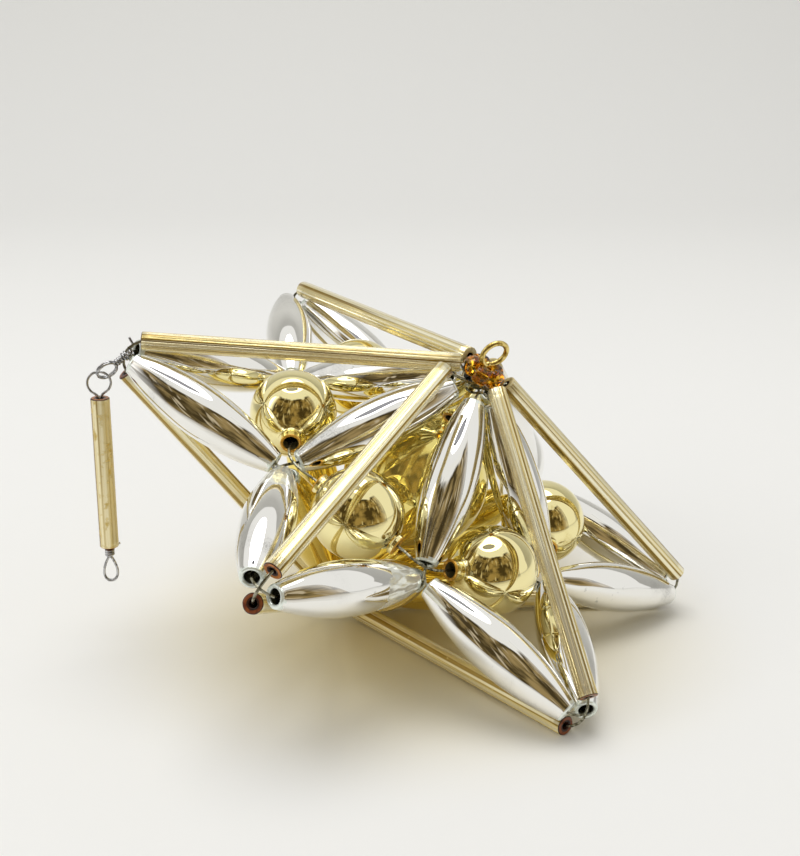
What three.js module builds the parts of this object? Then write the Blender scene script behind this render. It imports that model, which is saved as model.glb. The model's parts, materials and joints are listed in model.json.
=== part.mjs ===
// A six-pointed folk star of blown glass beads, threaded on thin steel wire and hung with a glass drop.
// Millimetres, +Z up. The star lies as it was set down, on its lower apex and two of its tips.
import * as THREE from "three";

// The star: its points, its inner corners, and how far each apex stands off the middle plane
const ARMS = 6;
const TIP_RADIUS = 50;
const INNER_RADIUS = 27;
const TOP_RISE = 22.5;
const BOTTOM_RISE = 26.5;
const BALL_LIFT = 2;

// Hand work: the fifth tip hangs below the middle plane, and the sixth is turned a little towards it, in degrees
const TIP_SAG = [0, 0, 0, 0, 5, 1];
const TIP_TURN = [0, 0, 0, 0, 0, -2];

// The second upper tube has slipped at the crown, outward and aside
const SLIP_OUT = [0, 3.4, 0, 0, 0, 0];
const SLIP_ASIDE = [0, -4, 0, 0, 0, 0];

// Oblong beads: thin blown spindles, open at both ends, silvered or, in the lower petals, gilt
const OBLONG_DIAMETER = 8.2;
const OBLONG_END_DIAMETER = 3.6;
const OBLONG_HOLE = 2.2;
const OBLONG_WALL = 0.5;

// Gilt tubes cut from drawn glass
const TUBE_DIAMETER = 3;
const TUBE_BORE = 1.25;

// Gilt balls with a short neck at each side
const BALL_DIAMETER = 14;
const NECK_DIAMETER = 3.8;
const BALL_WALL = 0.5;

// The larger gilt ball in the star's heart, which shows through the gaps
const CORE_DIAMETER = 23;
const CORE_NECK_DIAMETER = 3;
const CORE_NECK_LENGTH = 1;

// Amber seed beads that crown the top
const SEEDS = 5;
const SEED_DIAMETER = 2.3;
const SEED_LENGTH = 1.5;
const SEED_HOLE = 1.1;
const SEED_LIFT = 0.4;

// Brass eye that the star hangs by, on a pin that is the star's axis
const EYE_DIAMETER = 5;
const EYE_WIRE = 0.8;
const EYE_TURN = 25;
const EYE_SWEEP = 330;

// Steel wire and its windings
const WIRE = 0.45;
const TURNS = 3;
const TURN_GAP = 0.5;
const TAIL_LENGTH = 4.5;

// Twisted hanger at the first tip
const TWIST_LENGTH = 1.2;
const TWIST_TURNS = 0.5;
const TWIST_RADIUS = 0.5;
const LOOP_RADIUS = 1.3;
const LOOP_TURN = 12;
const HANGER_DROP = 36;

// Glass drop that swings from the hanger
const RING_RADIUS = 1.8;
const RING_PLAY = 0.3;
const DROP_LENGTH = 25;
const DROP_TURNS = 2;
const DROP_EYE_WIDTH = 2.4;
const DROP_EYE_HEIGHT = 3.8;
const DROP_EYE_MOUTH = 32;
const DROP_TAIL = 1.6;

// The clearance that neighbours keep, and the way that the star faces
const CLEARANCE = 0.4;
const HEADING = -175;

// How finely round shapes are cut
const OBLONG_SIDES = 12;
const OBLONG_BANDS = 8;
const OBLONG_HOLLOW_BANDS = 3;
const TUBE_SIDES = 12;
const BALL_SIDES = 14;
const BALL_BANDS = 9;
const BALL_HOLLOW_BANDS = 5;
const SEED_SIDES = 8;
const SEED_BANDS = 6;
const WIRE_SIDES = 6;
const EYE_SIDES = 8;
const BEND_STEPS = 6;
const TURN_STEPS = 16;

const UP = new THREE.Vector3(0, 0, 1);
const LATHE_AXIS = new THREE.Vector3(0, 1, 0);
const STEP = 360 / ARMS;
const HALF_STEP = STEP / 2;

const rad = THREE.MathUtils.degToRad;
const arms = [...Array(ARMS).keys()];
const next = (arm) => (arm + 1) % ARMS;

const finish = (color, roughness, metalness) => new THREE.MeshStandardMaterial({ color, roughness, metalness });
const silverGlass = finish(0xd8d8d6, 0.06, 1);
const giltOblong = finish(0xcdaa3c, 0.06, 1);
const giltTube = finish(0xd9c48a, 0.15, 0.8);
const giltBall = finish(0xd4b24a, 0.06, 1);
const amberGlass = finish(0xb5651d, 0.1, 0);
const brass = finish(0xc9a449, 0.25, 1);
const steel = finish(0x8a8a86, 0.4, 1);

function polar(radius, degrees, height) {
  return new THREE.Vector3(radius * Math.cos(rad(degrees)), radius * Math.sin(rad(degrees)), height);
}

function along(from, to, distance) {
  return to.clone().sub(from).setLength(distance).add(from);
}

function middle(a, b) {
  return a.clone().add(b).multiplyScalar(0.5);
}

// A ring of the closed outline, turned about its own axis
function turned(outline, sides) {
  return new THREE.LatheGeometry([...outline, outline[0]], sides);
}

// A bead that lies between two points of its wire
function bead(name, from, to, geometry, material) {
  const mesh = new THREE.Mesh(geometry, material);
  mesh.name = name;
  mesh.position.copy(middle(from, to));
  mesh.quaternion.setFromUnitVectors(LATHE_AXIS, to.clone().sub(from).normalize());
  return mesh;
}

// The points of a route, taken one step at a time
class Route extends THREE.Curve {
  constructor(points) {
    super();
    this.points = points;
  }

  getPoint(t, target = new THREE.Vector3()) {
    const last = this.points.length - 1;
    const index = Math.min(Math.floor(t * last), last - 1);
    return target.lerpVectors(this.points[index], this.points[index + 1], t * last - index);
  }

  getUtoTmapping(u) {
    return u;
  }
}

function wire(name, points, diameter, sides, material) {
  const section = arc(0, 360, sides).slice(0, sides);
  const shape = new THREE.Shape(section.map((a) => new THREE.Vector2(Math.cos(a), Math.sin(a))
    .multiplyScalar(diameter / 2)));
  const options = { steps: points.length - 1, extrudePath: new Route(points), bevelEnabled: false };
  const mesh = new THREE.Mesh(new THREE.ExtrudeGeometry(shape, options), material);
  mesh.name = name;
  return mesh;
}

// Angles from one to another, in radians
function arc(from, to, steps) {
  return [...Array(steps + 1).keys()].map((i) => rad(from + (to - from) * i / steps));
}

// A parabola from one point to another that passes through the crest between them
function bend(from, crest, to) {
  const control = crest.clone().multiplyScalar(2).sub(middle(from, to));
  return new THREE.QuadraticBezierCurve3(from, control, to).getPoints(BEND_STEPS);
}

// The least gap that a wound wire leaves to itself, past the few diameters next to each point
function selfGap(points, diameter) {
  const spacing = diameter / 4;
  const fine = [];
  for (let i = 1; i < points.length; i += 1) {
    const steps = Math.ceil(points[i].distanceTo(points[i - 1]) / spacing);
    for (let step = 0; step < steps; step += 1) {
      fine.push(points[i - 1].clone().lerp(points[i], step / steps));
    }
  }
  const skip = Math.ceil(5 * diameter / spacing);
  let least = Infinity;
  for (let i = 0; i < fine.length; i += 1) {
    for (let j = i + skip; j < fine.length; j += 1) {
      least = Math.min(least, fine[i].distanceTo(fine[j]) - diameter);
    }
  }
  return least;
}

function woundWire(name, points) {
  console.log(`${name}: least gap to itself ${selfGap(points, WIRE).toFixed(2)} mm`);
  return wire(name, points, WIRE, WIRE_SIDES, steel);
}

// Where the beads end. At a tip the tubes pass above and below the two oblongs.
const tubeRadius = TUBE_DIAMETER / 2;
const endRadius = OBLONG_END_DIAMETER / 2;
const tipSpread = endRadius + CLEARANCE / 2;
const tipLift = Math.sqrt((tubeRadius + endRadius + CLEARANCE) ** 2 - tipSpread ** 2);

// At the top the tubes stop round the seed beads, and the petals stop below the tubes.
const seedRadius = SEED_DIAMETER / 2;
const seedWall = (SEED_DIAMETER - SEED_HOLE) / 2;
const seedWedge = Math.PI / SEEDS;
const seedReach = Math.hypot(SEED_LENGTH / 2 * Math.cos(seedWedge), seedWall * Math.sin(seedWedge))
  + SEED_HOLE / 2 * Math.sin(seedWedge);
const seedRing = (seedReach + CLEARANCE / 2) / Math.sin(seedWedge);
const crownRadius = seedRing + seedRadius + CLEARANCE;
const petalStop = (endRadius + CLEARANCE / 2) / Math.sin(rad(HALF_STEP));

function apexEnds(rise, side) {
  const slope = Math.atan2(rise - tipLift, TIP_RADIUS - crownRadius);
  const tubeStop = crownRadius + tubeRadius * Math.sin(slope);
  const aside = petalStop * Math.sin(rad(HALF_STEP));
  const apart = tubeRadius + endRadius + CLEARANCE;
  const drop = Math.sqrt(apart ** 2 - aside ** 2) / Math.cos(slope);
  return {
    side,
    height: side * rise,
    tube: (arm) => polar(tubeStop, arm * STEP, side * rise),
    petal: (arm) => polar(petalStop, arm * STEP + HALF_STEP, side * (rise - drop)),
  };
}

const topApex = apexEnds(TOP_RISE, 1);
const bottomApex = apexEnds(BOTTOM_RISE, -1);
const corner = (arm) => polar(INNER_RADIUS, arm * STEP + HALF_STEP, 0);

function tipPoint(arm, outward, aside, height) {
  return new THREE.Vector3(TIP_RADIUS + outward, aside, height - TIP_SAG[arm])
    .applyAxisAngle(UP, rad(arm * STEP + TIP_TURN[arm]));
}

// The tubes of one apex, from tip to apex
function tubeSpan(apex, arm) {
  return { outer: tipPoint(arm, 0, 0, apex.side * tipLift), apex: apex.tube(arm) };
}

// A petal starts where its rim clears the middle plane, and so its twin on the other side.
function petalSpan(apex, arm) {
  const start = corner(arm);
  const top = apex.petal(arm);
  const slope = Math.atan2(Math.abs(top.z), INNER_RADIUS - petalStop);
  const stop = (endRadius * Math.cos(slope) + CLEARANCE / 2) / Math.sin(slope);
  return { outer: along(start, top, stop), apex: top };
}

// The two oblongs of an arm run from its tip to the corners beside it, where each clears its neighbour.
function oblongSpan(arm, hand) {
  const tip = tipPoint(arm, 0, hand * tipSpread, 0);
  const inner = hand > 0 ? corner(arm) : corner((arm + ARMS - 1) % ARMS);
  const angle = tip.clone().sub(inner).angleTo(inner);
  const stop = (endRadius * Math.cos(angle) + CLEARANCE / 2) / Math.sin(angle);
  return { tip, inner: along(inner, tip, stop), corner: inner, angle };
}

const oblongs = arms.map((arm) => ({ right: oblongSpan(arm, -1), left: oblongSpan(arm, 1) }));
const slip = (arm) => new THREE.Vector3(SLIP_OUT[arm], SLIP_ASIDE[arm], 0).applyAxisAngle(UP, rad(arm * STEP));
const tubesTop = arms.map((arm) => {
  const span = tubeSpan(topApex, arm);
  return { outer: span.outer, apex: span.apex.add(slip(arm)) };
});
const tubesBottom = arms.map((arm) => tubeSpan(bottomApex, arm));
const petalsTop = arms.map((arm) => petalSpan(topApex, arm));
const petalsBottom = arms.map((arm) => petalSpan(bottomApex, arm));

// How wide an oblong is at a distance from its middle, as a share of its half length
function oblongRadius(share) {
  return endRadius + (OBLONG_DIAMETER / 2 - endRadius) * (1 - share ** 2);
}

function oblongGeometry(length) {
  const outline = [];
  for (let i = 0; i <= OBLONG_BANDS; i += 1) {
    const share = 2 * i / OBLONG_BANDS - 1;
    outline.push(new THREE.Vector2(oblongRadius(share), share * length / 2));
  }
  outline.push(new THREE.Vector2(OBLONG_HOLE / 2, length / 2));
  for (let i = 1; i < OBLONG_HOLLOW_BANDS; i += 1) {
    const share = 1 - 2 * i / OBLONG_HOLLOW_BANDS;
    outline.push(new THREE.Vector2(oblongRadius(share) - OBLONG_WALL, share * length / 2));
  }
  outline.push(new THREE.Vector2(OBLONG_HOLE / 2, -length / 2));
  return turned(outline, OBLONG_SIDES);
}

function oblong(name, from, to, look) {
  return bead(name, from, to, oblongGeometry(from.distanceTo(to)), look);
}

function tube(name, from, to) {
  const half = from.distanceTo(to) / 2;
  const outline = [
    new THREE.Vector2(tubeRadius, -half),
    new THREE.Vector2(tubeRadius, half),
    new THREE.Vector2(TUBE_BORE / 2, half),
    new THREE.Vector2(TUBE_BORE / 2, -half),
  ];
  return bead(name, from, to, turned(outline, TUBE_SIDES), giltTube);
}

// One wall of a ball with its two necks, from the lower neck's mouth to the upper one's
function ballWall(radius, neck, reach, bands) {
  const mouth = Math.asin(neck / radius) * THREE.MathUtils.RAD2DEG;
  const round = arc(mouth - 90, 90 - mouth, bands);
  return [
    new THREE.Vector2(neck, -reach),
    ...round.map((a) => new THREE.Vector2(radius * Math.cos(a), radius * Math.sin(a))),
    new THREE.Vector2(neck, reach),
  ];
}

function ball(name, from, to, radius, neck) {
  const reach = from.distanceTo(to) / 2;
  const outside = ballWall(radius, neck, reach, BALL_BANDS);
  const inside = ballWall(radius - BALL_WALL, neck - BALL_WALL, reach, BALL_HOLLOW_BANDS);
  return bead(name, from, to, turned([...outside, ...inside.reverse()], BALL_SIDES), giltBall);
}

function seedGeometry() {
  const round = arc(-90, 90, SEED_BANDS);
  const outline = round.map((a) => new THREE.Vector2(
    SEED_HOLE / 2 + seedWall * Math.cos(a),
    SEED_LENGTH / 2 * Math.sin(a),
  ));
  return turned(outline, SEED_SIDES);
}

// A ball hangs between two corners, and its neck stops where it clears the oblong beside it.
function ballSpan(arm) {
  const lift = new THREE.Vector3(0, 0, BALL_LIFT);
  const right = corner((arm + ARMS - 1) % ARMS).add(lift);
  const left = corner(arm).add(lift);
  const apart = Math.PI - oblongs[arm].left.angle - rad(90 - HALF_STEP);
  const flank = (OBLONG_DIAMETER / 2 + endRadius) / 2;
  const stop = (flank + NECK_DIAMETER / 2 * Math.cos(apart)) / Math.sin(apart) + CLEARANCE;
  return { right: along(right, left, stop), left: along(left, right, stop) };
}

const balls = arms.map(ballSpan);

// Each wire is hooked round the one inside it, so the bends at a tip or corner stand one past another.
const wirePitch = WIRE + CLEARANCE;
const outlineBow = CLEARANCE + WIRE / 2;
const tubeBow = outlineBow + wirePitch;

// The outline wire runs round the star through every oblong, and its two ends meet inside the first.
function outlineRoute() {
  const first = oblongs[0].left;
  const seam = middle(first.inner, first.tip);
  const points = [along(seam, first.inner, CLEARANCE)];
  for (const arm of arms) {
    const here = oblongs[arm].left;
    const there = oblongs[next(arm)];
    const crest = middle(middle(here.inner, there.right.inner), here.corner);
    points.push(...bend(here.inner, crest, there.right.inner));
    points.push(...bend(there.right.tip, tipPoint(next(arm), outlineBow, 0, 0), there.left.tip));
  }
  points.push(along(seam, first.tip, CLEARANCE));
  return points;
}

// The ball wire runs round inside the corners, over the wire of the petals.
function ballRoute() {
  const seam = middle(balls[0].left, balls[0].right);
  const points = [along(seam, balls[0].left, CLEARANCE)];
  for (const arm of arms) {
    const crest = polar(INNER_RADIUS - CLEARANCE, arm * STEP + HALF_STEP, BALL_LIFT);
    points.push(...bend(balls[arm].left, crest, balls[next(arm)].right));
  }
  points.push(along(seam, balls[0].right, CLEARANCE));
  return points;
}

// A wire that goes down one arm and up the next, from apex to apex, until it is back where it began
function zigzagRoute(top, bottom, outerCrest, apexCrest) {
  const seam = middle(top[0].outer, top[0].apex);
  const points = [along(seam, top[0].outer, CLEARANCE)];
  for (const arm of arms) {
    const downward = arm % 2 === 0;
    const before = downward ? top : bottom;
    const after = downward ? bottom : top;
    points.push(...bend(before[arm].outer, outerCrest(arm), after[arm].outer));
    points.push(...bend(after[arm].apex, apexCrest(downward ? bottomApex : topApex, arm), after[next(arm)].apex));
  }
  points.push(along(seam, top[0].apex, CLEARANCE));
  return points;
}

// The bindings lie between the seeds and the petals, round the pin of the brass eye.
const bindingRadius = EYE_WIRE / 2 + CLEARANCE + WIRE / 2;
const bindingTop = SEED_LIFT - seedRadius;
const bindingPitch = WIRE + TURN_GAP;
const apexBendRadius = bindingRadius + WIRE / 2 + CLEARANCE + WIRE / 2;
const tubeBendDrop = bindingTop - wirePitch;
const petalBendDrop = tubeBendDrop - wirePitch;

function apexBend(drop, turn) {
  return (apex, arm) => polar(apexBendRadius, arm * STEP + turn, apex.height + apex.side * drop);
}

const outlineCornerRadius = middle(middle(oblongs[0].left.inner, oblongs[1].right.inner), corner(0)).length();
const petalBendRadius = outlineCornerRadius + wirePitch + CLEARANCE / 4;

const tubeRoute = zigzagRoute(tubesTop, tubesBottom,
  (arm) => tipPoint(arm, tubeBow, 0, 0), apexBend(tubeBendDrop, HALF_STEP));
const petalRoute = zigzagRoute(petalsTop, petalsBottom,
  (arm) => polar(petalBendRadius, arm * STEP + HALF_STEP, 0), apexBend(petalBendDrop, STEP));

// The crown: seed beads on a ring of wire round the pin of the brass eye
const crownHeight = TOP_RISE + SEED_LIFT;
const pinFoot = CLEARANCE - BOTTOM_RISE - bindingTop;

function seedRoute() {
  const inset = CLEARANCE / seedRing / 2 * THREE.MathUtils.RAD2DEG;
  return arc(inset, 360 - inset, TURN_STEPS).map((a) => polar(seedRing, a * THREE.MathUtils.RAD2DEG, crownHeight));
}

function seed(index) {
  const degrees = index * 360 / SEEDS;
  const centre = polar(seedRing, degrees, crownHeight);
  const half = polar(SEED_LENGTH / 2, degrees + 90, 0);
  const from = centre.clone().sub(half);
  return bead(`seed_${index + 1}`, from, centre.clone().add(half), seedGeometry(), amberGlass);
}

function eyeRoute() {
  const ring = (EYE_DIAMETER - EYE_WIRE) / 2;
  const centre = crownHeight + seedRadius + EYE_DIAMETER / 2;
  const across = polar(1, EYE_TURN, 0);
  const round = arc(-90, EYE_SWEEP - 90, TURN_STEPS);
  const stem = [pinFoot, crownHeight];
  return [
    ...stem.map((height) => new THREE.Vector3(0, 0, height)),
    ...round.map((a) => across.clone().multiplyScalar(ring * Math.cos(a)).setZ(centre + ring * Math.sin(a))),
  ];
}

// Turns about an upright axis through the origin, from one height to another
function helix(radius, startDegrees, turns, fromHeight, toHeight) {
  const steps = Math.round(turns * TURN_STEPS);
  return arc(startDegrees, startDegrees + turns * 360, steps).map((a, i) => new THREE.Vector3(
    radius * Math.cos(a),
    radius * Math.sin(a),
    fromHeight + (toHeight - fromHeight) * i / steps,
  ));
}

function bindingHelix(apex) {
  const far = bindingTop - TURNS * bindingPitch;
  return helix(bindingRadius, 0, TURNS, apex.height + apex.side * far, apex.height + apex.side * bindingTop);
}

// The lower binding ends in a tail on the axis, which is what the star stands on.
const tailEnd = BOTTOM_RISE + TAIL_LENGTH;

function bottomBindingRoute() {
  const tail = [-BOTTOM_RISE - wirePitch, -tailEnd].map((height) => new THREE.Vector3(0, 0, height));
  return [...bindingHelix(bottomApex), ...tail];
}

const star = new THREE.Group();
for (const arm of arms) {
  const number = arm + 1;
  star.add(oblong(`oblong_${number}_left`, oblongs[arm].left.inner, oblongs[arm].left.tip, silverGlass));
  star.add(oblong(`oblong_${number}_right`, oblongs[arm].right.inner, oblongs[arm].right.tip, silverGlass));
  star.add(oblong(`petal_top_${number}`, petalsTop[arm].outer, petalsTop[arm].apex, silverGlass));
  star.add(oblong(`petal_bottom_${number}`, petalsBottom[arm].outer, petalsBottom[arm].apex, giltOblong));
  star.add(tube(`tube_top_${number}`, tubesTop[arm].outer, tubesTop[arm].apex));
  star.add(tube(`tube_bottom_${number}`, tubesBottom[arm].outer, tubesBottom[arm].apex));
  star.add(ball(`ball_${number}`, balls[arm].right, balls[arm].left, BALL_DIAMETER / 2, NECK_DIAMETER / 2));
}
const coreReach = new THREE.Vector3(0, 0, CORE_DIAMETER / 2 + CORE_NECK_LENGTH);
star.add(ball("core_ball", coreReach.clone().negate(), coreReach, CORE_DIAMETER / 2, CORE_NECK_DIAMETER / 2));
star.add(wire("outline_wire", outlineRoute(), WIRE, WIRE_SIDES, steel));
star.add(wire("ball_wire", ballRoute(), WIRE, WIRE_SIDES, steel));
star.add(wire("tube_wire", tubeRoute, WIRE, WIRE_SIDES, steel));
star.add(wire("petal_wire", petalRoute, WIRE, WIRE_SIDES, steel));
for (let index = 0; index < SEEDS; index += 1) {
  star.add(seed(index));
}
star.add(wire("seed_wire", seedRoute(), WIRE, WIRE_SIDES, steel));
star.add(wire("brass_eye", eyeRoute(), EYE_WIRE, EYE_SIDES, brass));
star.add(woundWire("top_binding", bindingHelix(topApex)));
star.add(woundWire("bottom_binding", bottomBindingRoute()));

// The star leans until the lower tubes of its third and fourth tips touch down with the lower tail.
const lowerSlope = Math.atan2(BOTTOM_RISE - tipLift, TIP_RADIUS - tubesBottom[0].apex.length());
const footRadius = (TIP_RADIUS + tubeRadius * Math.sin(lowerSlope)) * Math.cos(rad(HALF_STEP));
const footDepth = tipLift + tubeRadius * Math.cos(lowerSlope);
const tilt = Math.atan2(tailEnd - footDepth, footRadius) * THREE.MathUtils.RAD2DEG;
const floorNormal = polar(Math.sin(rad(tilt)), -HALF_STEP, Math.cos(rad(tilt)));
star.quaternion.setFromUnitVectors(floorNormal, UP);
star.quaternion.premultiply(new THREE.Quaternion().setFromAxisAngle(UP, rad(HEADING)));
star.updateMatrixWorld(true);

// The hanger: a wire hooked round the tube wire of the first tip, twisted on itself and opened into a loop
const hookHeight = -wirePitch;
const hookCentre = tipPoint(0, tubeBow * (1 - (hookHeight / tipLift) ** 2), 0, hookHeight);
const outwardFlat = tipPoint(0, 0, 0, 0).applyQuaternion(star.quaternion).setZ(0).normalize();
const sideways = UP.clone().cross(outwardFlat);
const twistAxis = outwardFlat.clone().multiplyScalar(Math.cos(rad(HANGER_DROP)))
  .addScaledVector(UP, -Math.sin(rad(HANGER_DROP)));
const twistAcross = sideways.clone().applyAxisAngle(twistAxis, rad(LOOP_TURN));
const twistUp = twistAxis.clone().cross(twistAcross);
const twistStart = star.localToWorld(hookCentre.clone()).addScaledVector(twistAxis, 1.5 * wirePitch);
const twistEnd = twistStart.clone().addScaledVector(twistAxis, TWIST_LENGTH);
const loopMouth = Math.asin(TWIST_RADIUS / LOOP_RADIUS);
const loopSide = Math.cos(rad(TWIST_TURNS * 360));
const loopCentre = twistEnd.clone().addScaledVector(twistAxis, LOOP_RADIUS * Math.cos(loopMouth));
const hangPoint = loopCentre.clone().addScaledVector(twistAxis, LOOP_RADIUS);

function strand(startDegrees) {
  const steps = Math.round(TWIST_TURNS * TURN_STEPS / 2);
  return arc(startDegrees, startDegrees + TWIST_TURNS * 360, steps).map((a, i) => twistStart.clone()
    .addScaledVector(twistAxis, TWIST_LENGTH * i / steps)
    .addScaledVector(twistAcross, TWIST_RADIUS * Math.cos(a))
    .addScaledVector(twistUp, TWIST_RADIUS * Math.sin(a)));
}

function hangerRoute() {
  const hook = arc(-70, -290, TURN_STEPS).map((a) => star.localToWorld(hookCentre.clone()
    .add(new THREE.Vector3(wirePitch * Math.cos(a), wirePitch * Math.sin(a), 0))));
  const mouth = loopMouth * THREE.MathUtils.RAD2DEG;
  const loop = arc(mouth, 360 - mouth, TURN_STEPS).slice(1, -1).map((a) => loopCentre.clone()
    .addScaledVector(twistAxis, -LOOP_RADIUS * Math.cos(a))
    .addScaledVector(twistAcross, loopSide * LOOP_RADIUS * Math.sin(a)));
  return [...hook, ...strand(0), ...loop, ...strand(180).reverse()];
}

// The drop hangs plumb from the loop: a ring, a straight shank through the glass, and a wound eye below it
const ringCentre = WIRE + RING_PLAY - RING_RADIUS;
const dropTop = ringCentre - RING_RADIUS - WIRE / 2 - CLEARANCE;
const dropBottom = dropTop - DROP_LENGTH;
const windTop = dropBottom - CLEARANCE - WIRE / 2;
const windBottom = windTop - DROP_TURNS * bindingPitch;
const windRadius = 2 * wirePitch - CLEARANCE * 2;
const dropEyeCentre = windBottom - wirePitch - DROP_EYE_HEIGHT / 2;

function pendantRoute() {
  const ring = arc(-55, 240, TURN_STEPS).map((a) => new THREE.Vector3(
    RING_RADIUS * Math.cos(a),
    0,
    ringCentre + RING_RADIUS * Math.sin(a),
  ));
  const shank = [dropTop, windBottom].map((height) => new THREE.Vector3(0, 0, height));
  const eye = arc(DROP_EYE_MOUTH, 360 - DROP_EYE_MOUTH, TURN_STEPS).map((a) => new THREE.Vector3(
    (DROP_EYE_WIDTH - WIRE) / 2 * Math.sin(a),
    0,
    dropEyeCentre + (DROP_EYE_HEIGHT - WIRE) / 2 * Math.cos(a),
  ));
  const winding = helix(windRadius, 180, DROP_TURNS, windBottom, windTop);
  const tail = new THREE.Vector3(-windRadius, -DROP_TAIL, windTop);
  return [...ring, ...shank, ...eye, ...winding, tail];
}

const pendant = new THREE.Group();
pendant.position.copy(hangPoint);
pendant.quaternion.setFromRotationMatrix(new THREE.Matrix4().makeBasis(outwardFlat, sideways, UP));
pendant.add(woundWire("pendant_wire", pendantRoute()));
pendant.add(tube("pendant_tube", new THREE.Vector3(0, 0, dropBottom), new THREE.Vector3(0, 0, dropTop)));

// The whole ornament, set down with its lowest point on the floor and its box centred over the origin
const ornament = new THREE.Group();
ornament.add(star, woundWire("hanger", hangerRoute()), pendant);
const box = new THREE.Box3().setFromObject(ornament, true);
ornament.position.set(-(box.min.x + box.max.x) / 2, -(box.min.y + box.max.y) / 2, -box.min.z);

export default ornament;
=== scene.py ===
# %% [markdown]
# # A star of blown glass beads
# The ornament is threaded, not glued: thin wire runs through silvered spindles, gilt tubes and gilt
# balls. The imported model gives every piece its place. This lesson gives each one its true surface and
# finish.

# %% Load the frame
import json

import bpy
import numpy as np
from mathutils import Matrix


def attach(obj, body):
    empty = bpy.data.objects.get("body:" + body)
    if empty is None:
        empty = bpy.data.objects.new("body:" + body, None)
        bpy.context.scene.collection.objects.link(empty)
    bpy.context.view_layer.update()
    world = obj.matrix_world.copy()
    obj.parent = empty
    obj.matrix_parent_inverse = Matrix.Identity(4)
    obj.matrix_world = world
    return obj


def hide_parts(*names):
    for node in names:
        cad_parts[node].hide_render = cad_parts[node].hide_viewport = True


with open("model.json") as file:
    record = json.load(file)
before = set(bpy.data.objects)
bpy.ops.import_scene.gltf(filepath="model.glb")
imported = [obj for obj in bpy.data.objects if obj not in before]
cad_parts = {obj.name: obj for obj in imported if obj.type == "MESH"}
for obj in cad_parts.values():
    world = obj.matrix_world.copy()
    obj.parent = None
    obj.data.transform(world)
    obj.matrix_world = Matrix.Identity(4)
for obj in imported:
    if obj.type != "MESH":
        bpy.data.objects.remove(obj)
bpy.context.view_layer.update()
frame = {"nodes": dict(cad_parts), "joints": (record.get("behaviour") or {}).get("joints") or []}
MM = 0.001
ARMS = range(1, 7)

# %% [markdown]
# ## The camera
# The photograph was taken from close by, a little above the star. The camera looks along +Y and a little
# down. It could be placed by eye, but so near to the star a small error shows. So its place and lens are
# those at which the star's tips fall where the photograph has them.

# %% Camera
IMAGE_WIDTH = 800
FOCAL_PIXELS = 1422
SENSOR_WIDTH = 36
NEAREST_SEEN = 0.01
LOOK_DOWN = np.radians(17.05)
CAMERA_PLACE = np.array([-0.1, -223.1, 103.5]) * MM

lens = bpy.data.cameras.new("camera")
lens.sensor_fit = "HORIZONTAL"
lens.sensor_width = SENSOR_WIDTH
lens.lens = FOCAL_PIXELS * SENSOR_WIDTH / IMAGE_WIDTH
lens.clip_start = NEAREST_SEEN
camera = bpy.data.objects.new("camera", lens)
camera.location = CAMERA_PLACE
camera.rotation_euler = (np.pi / 2 - LOOK_DOWN, 0, 0)
bpy.context.scene.collection.objects.link(camera)
bpy.context.scene.camera = camera
bpy.context.scene.view_settings.view_transform = "Standard"
print("camera: lens", round(lens.lens, 1), "mm")

# %% [markdown]
# ## Finding a bead's place
# Every bead is turned about an axis, the line of its wire. The axes could be typed in, but then they
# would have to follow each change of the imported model, so they are measured. A packed bead is a regular
# ring of flat faces, and the main direction of its points is its axis. A long bead spreads most along
# it, a flat one least.

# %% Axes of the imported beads
LONG = 0
FLAT = 2


def node_points(name):
    """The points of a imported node, in millimetres."""
    vertices = frame["nodes"][name].data.vertices
    flat = np.empty(len(vertices) * 3)
    vertices.foreach_get("co", flat)
    return flat.reshape(-1, 3) / MM


def middle(points):
    """The middle of the box round the points."""
    return (points.min(axis=0) + points.max(axis=0)) / 2


def spread(points, shape):
    """The unit direction in which the points spread most, for LONG, or least, for FLAT."""
    return np.linalg.svd(points - points.mean(axis=0), full_matrices=False)[2][shape]


ball_centres = np.array([node_points(f"ball_{arm}").mean(axis=0) for arm in ARMS])
STAR_CENTRE = ball_centres.mean(axis=0)


def bead_place(name, shape=LONG):
    """Centre, unit axis and length of a packed bead. The axis points away from the star's middle."""
    points = node_points(name)
    centre = middle(points)
    axis = spread(points, shape)
    if axis @ (centre - STAR_CENTRE) < 0:
        axis = -axis
    reach = (points - centre) @ axis
    centre = centre + axis * (reach.max() + reach.min()) / 2
    return centre, axis, float(np.ptp(reach))


def across(axis):
    """Two unit directions square to an axis and to each other."""
    helper = np.eye(3)[np.argmin(np.abs(axis))]
    first = np.cross(axis, helper)
    first = first / np.linalg.norm(first)
    return first, np.cross(axis, first)


tube_tops = np.array([bead_place(f"tube_top_{arm}")[0] for arm in ARMS])
tube_feet = np.array([bead_place(f"tube_bottom_{arm}")[0] for arm in ARMS])
STAR_AXIS = tube_tops.mean(axis=0) - tube_feet.mean(axis=0)
STAR_AXIS = STAR_AXIS / np.linalg.norm(STAR_AXIS)
print("star centre", STAR_CENTRE.round(1), "mm, axis", STAR_AXIS.round(2))

# %% [markdown]
# ## Two surfaces
# All the glass is turned work, and all the metal is drawn wire, so two surfaces are enough. One turns a
# closed outline about an axis. The other carries a circle along a path. A Screw modifier and a bevelled
# curve could make both, but on a grid of known rows a finish can start and stop at a row.

# %% Surfaces
def turned(outline, sides):
    """An outline of radius r and height h, turned by the angle a: the points (r cos a, r sin a, h)."""
    angle = np.linspace(0, 2 * np.pi, sides, endpoint=False)
    radius = outline[:, 0, None]
    height = np.repeat(outline[:, 1, None], sides, axis=1)
    return np.stack([radius * np.cos(angle), radius * np.sin(angle), height], axis=-1)


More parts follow.
